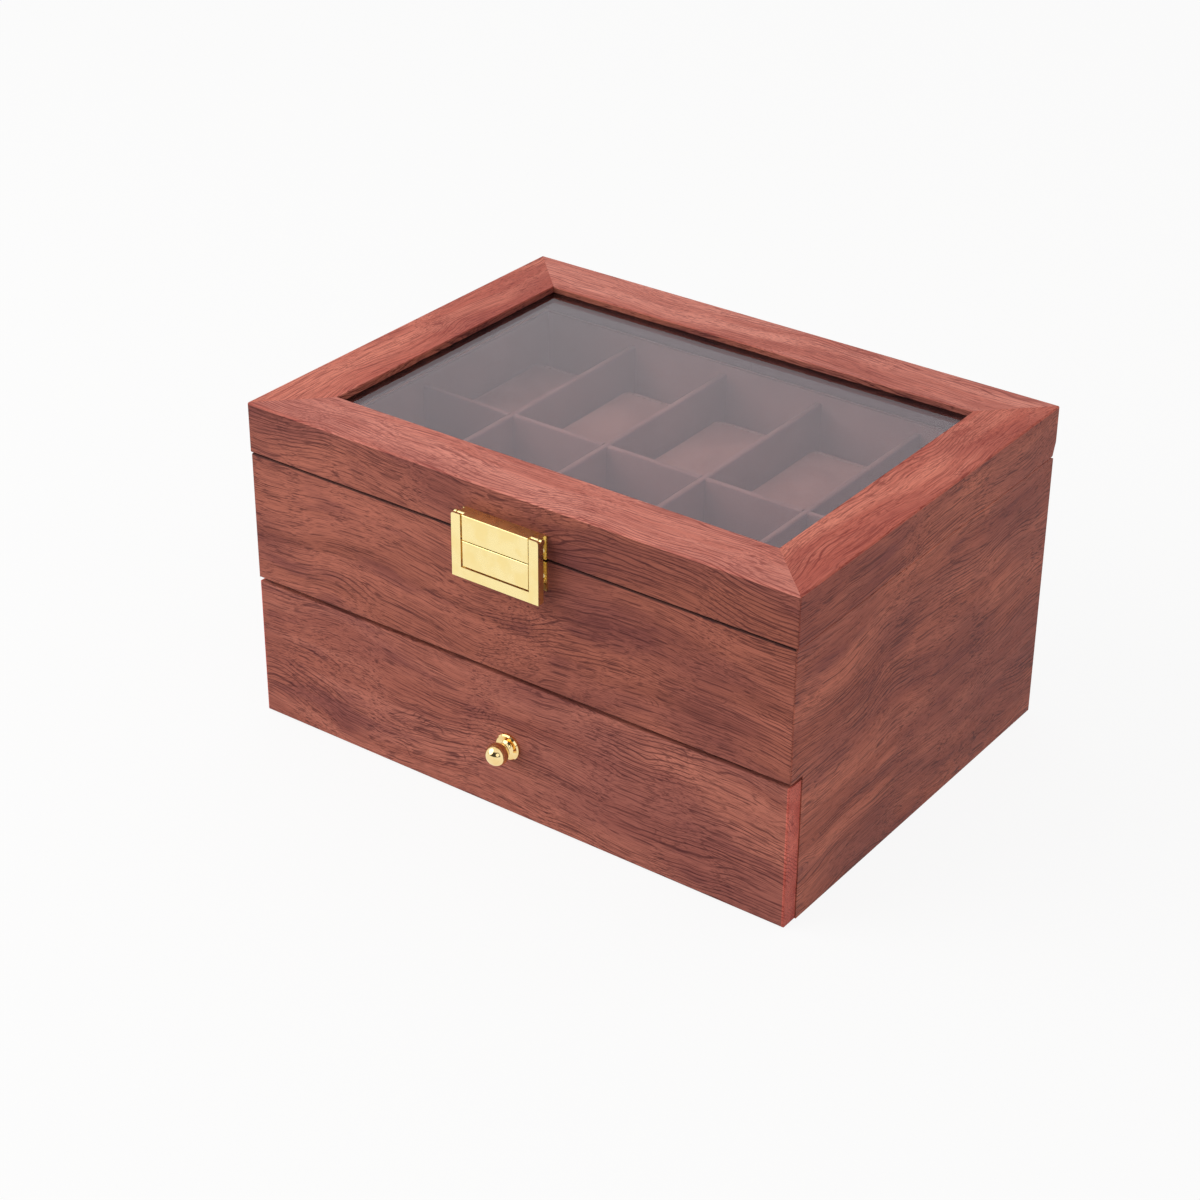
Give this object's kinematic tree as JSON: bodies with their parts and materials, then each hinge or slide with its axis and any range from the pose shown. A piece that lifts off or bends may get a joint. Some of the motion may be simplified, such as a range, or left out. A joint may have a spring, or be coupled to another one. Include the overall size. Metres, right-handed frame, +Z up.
{
  "type": "watch box with drawer",
  "caption": "Wooden watch box: hinged glazed lid with a flap latch, a lined tray of compartments with cushions, and a full-width drawer on a turned knob.",
  "frame": {"origin": "middle of the case's base, on the surface it stands on", "axes": "+Z up, +X to the right along the front, -Y towards the person who opens it"},
  "size_m": [0.29, 0.2285, 0.16],
  "materials": {
    "case_veneer": "red-brown rosewood-look veneer, satin",
    "lid_veneer": "red-brown rosewood-look veneer, satin",
    "inner_board": "smooth stained board",
    "base_flock": "short flock",
    "brown_velvet": "short velvet on card",
    "cushion_velvet": "short velvet over foam",
    "glass": "clear float glass",
    "gold_plate": "gold plated, satin",
    "hinge_brass": "brass plated"
  },
  "bodies": {
    "case": {"left_side_panel": "case_veneer", "right_side_panel": "case_veneer", "back_panel": "case_veneer", "upper_front_panel": "case_veneer", "bottom_board": "inner_board", "tray_deck": "inner_board", "base_flock": "base_flock", "tray_floor_lining": "brown_velvet", "tray_wall_lining": "brown_velvet", "tray_long_divider": "brown_velvet", "tray_cross_dividers": "brown_velvet", "hinge_left_case_leaf": "hinge_brass", "hinge_right_case_leaf": "hinge_brass", "hinge_pins": "hinge_brass", "hinge_case_screws": "hinge_brass", "latch_keeper": "gold_plate", "latch_keeper_brads": "gold_plate"},
    "lid": {"lid_front_rail": "lid_veneer", "lid_back_rail": "lid_veneer", "lid_left_rail": "lid_veneer", "lid_right_rail": "lid_veneer", "lid_glass": "glass", "glazing_beads": "lid_veneer", "hinge_left_lid_leaf": "hinge_brass", "hinge_right_lid_leaf": "hinge_brass", "hinge_lid_screws": "hinge_brass", "latch_lid_plate": "gold_plate", "latch_lid_brads": "gold_plate", "latch_pin": "gold_plate"},
    "latch_flap": {"latch_flap": "gold_plate"},
    "drawer": {"drawer_front": "case_veneer", "drawer_left_side": "inner_board", "drawer_right_side": "inner_board", "drawer_back": "inner_board", "drawer_bottom": "inner_board", "drawer_floor_lining": "brown_velvet", "drawer_wall_lining": "brown_velvet", "drawer_long_divider": "brown_velvet", "drawer_cross_dividers": "brown_velvet", "drawer_knob": "gold_plate"},
    "tray_cushion_1": {"tray_cushion_1": "cushion_velvet"},
    "tray_cushion_2": {"tray_cushion_2": "cushion_velvet"},
    "tray_cushion_3": {"tray_cushion_3": "cushion_velvet"},
    "tray_cushion_4": {"tray_cushion_4": "cushion_velvet"},
    "tray_cushion_5": {"tray_cushion_5": "cushion_velvet"},
    "tray_cushion_6": {"tray_cushion_6": "cushion_velvet"},
    "tray_cushion_7": {"tray_cushion_7": "cushion_velvet"},
    "tray_cushion_8": {"tray_cushion_8": "cushion_velvet"},
    "tray_cushion_9": {"tray_cushion_9": "cushion_velvet"},
    "tray_cushion_10": {"tray_cushion_10": "cushion_velvet"},
    "drawer_cushion_1": {"drawer_cushion_1": "cushion_velvet"},
    "drawer_cushion_2": {"drawer_cushion_2": "cushion_velvet"},
    "drawer_cushion_3": {"drawer_cushion_3": "cushion_velvet"},
    "drawer_cushion_4": {"drawer_cushion_4": "cushion_velvet"},
    "drawer_cushion_5": {"drawer_cushion_5": "cushion_velvet"},
    "drawer_cushion_6": {"drawer_cushion_6": "cushion_velvet"},
    "drawer_cushion_7": {"drawer_cushion_7": "cushion_velvet"},
    "drawer_cushion_8": {"drawer_cushion_8": "cushion_velvet"},
    "drawer_cushion_9": {"drawer_cushion_9": "cushion_velvet"},
    "drawer_cushion_10": {"drawer_cushion_10": "cushion_velvet"}
  },
  "joints": [
    {"name": "lid_hinge", "type": "hinge", "parent": "case", "child": "lid", "pos_m": [0, 0.10508, 0.13535], "axis": [-1, 0, 0], "range_deg": [0, 98]},
    {"name": "latch_swing", "type": "hinge", "parent": "lid", "child": "latch_flap", "pos_m": [0, -0.1124, 0.14595], "axis": [-1, 0, 0], "range_deg": [0, 100]},
    {"name": "drawer_slide", "type": "slide", "parent": "case", "child": "drawer", "axis": [0, -1, 0], "range_m": [0, 0.15]},
    {"name": "tray_cushion_1_lift", "type": "slide", "parent": "case", "child": "tray_cushion_1", "axis": [0, 0, 1], "range_m": [0, 0.032]},
    {"name": "tray_cushion_2_lift", "type": "slide", "parent": "case", "child": "tray_cushion_2", "axis": [0, 0, 1], "range_m": [0, 0.032]},
    {"name": "tray_cushion_3_lift", "type": "slide", "parent": "case", "child": "tray_cushion_3", "axis": [0, 0, 1], "range_m": [0, 0.032]},
    {"name": "tray_cushion_4_lift", "type": "slide", "parent": "case", "child": "tray_cushion_4", "axis": [0, 0, 1], "range_m": [0, 0.032]},
    {"name": "tray_cushion_5_lift", "type": "slide", "parent": "case", "child": "tray_cushion_5", "axis": [0, 0, 1], "range_m": [0, 0.032]},
    {"name": "tray_cushion_6_lift", "type": "slide", "parent": "case", "child": "tray_cushion_6", "axis": [0, 0, 1], "range_m": [0, 0.032]},
    {"name": "tray_cushion_7_lift", "type": "slide", "parent": "case", "child": "tray_cushion_7", "axis": [0, 0, 1], "range_m": [0, 0.032]},
    {"name": "tray_cushion_8_lift", "type": "slide", "parent": "case", "child": "tray_cushion_8", "axis": [0, 0, 1], "range_m": [0, 0.032]},
    {"name": "tray_cushion_9_lift", "type": "slide", "parent": "case", "child": "tray_cushion_9", "axis": [0, 0, 1], "range_m": [0, 0.032]},
    {"name": "tray_cushion_10_lift", "type": "slide", "parent": "case", "child": "tray_cushion_10", "axis": [0, 0, 1], "range_m": [0, 0.032]},
    {"name": "drawer_cushion_1_lift", "type": "slide", "parent": "drawer", "child": "drawer_cushion_1", "axis": [0, 0, 1], "range_m": [0, 0.02]},
    {"name": "drawer_cushion_2_lift", "type": "slide", "parent": "drawer", "child": "drawer_cushion_2", "axis": [0, 0, 1], "range_m": [0, 0.02]},
    {"name": "drawer_cushion_3_lift", "type": "slide", "parent": "drawer", "child": "drawer_cushion_3", "axis": [0, 0, 1], "range_m": [0, 0.02]},
    {"name": "drawer_cushion_4_lift", "type": "slide", "parent": "drawer", "child": "drawer_cushion_4", "axis": [0, 0, 1], "range_m": [0, 0.02]},
    {"name": "drawer_cushion_5_lift", "type": "slide", "parent": "drawer", "child": "drawer_cushion_5", "axis": [0, 0, 1], "range_m": [0, 0.02]},
    {"name": "drawer_cushion_6_lift", "type": "slide", "parent": "drawer", "child": "drawer_cushion_6", "axis": [0, 0, 1], "range_m": [0, 0.02]},
    {"name": "drawer_cushion_7_lift", "type": "slide", "parent": "drawer", "child": "drawer_cushion_7", "axis": [0, 0, 1], "range_m": [0, 0.02]},
    {"name": "drawer_cushion_8_lift", "type": "slide", "parent": "drawer", "child": "drawer_cushion_8", "axis": [0, 0, 1], "range_m": [0, 0.02]},
    {"name": "drawer_cushion_9_lift", "type": "slide", "parent": "drawer", "child": "drawer_cushion_9", "axis": [0, 0, 1], "range_m": [0, 0.02]},
    {"name": "drawer_cushion_10_lift", "type": "slide", "parent": "drawer", "child": "drawer_cushion_10", "axis": [0, 0, 1], "range_m": [0, 0.02]}
  ]
}
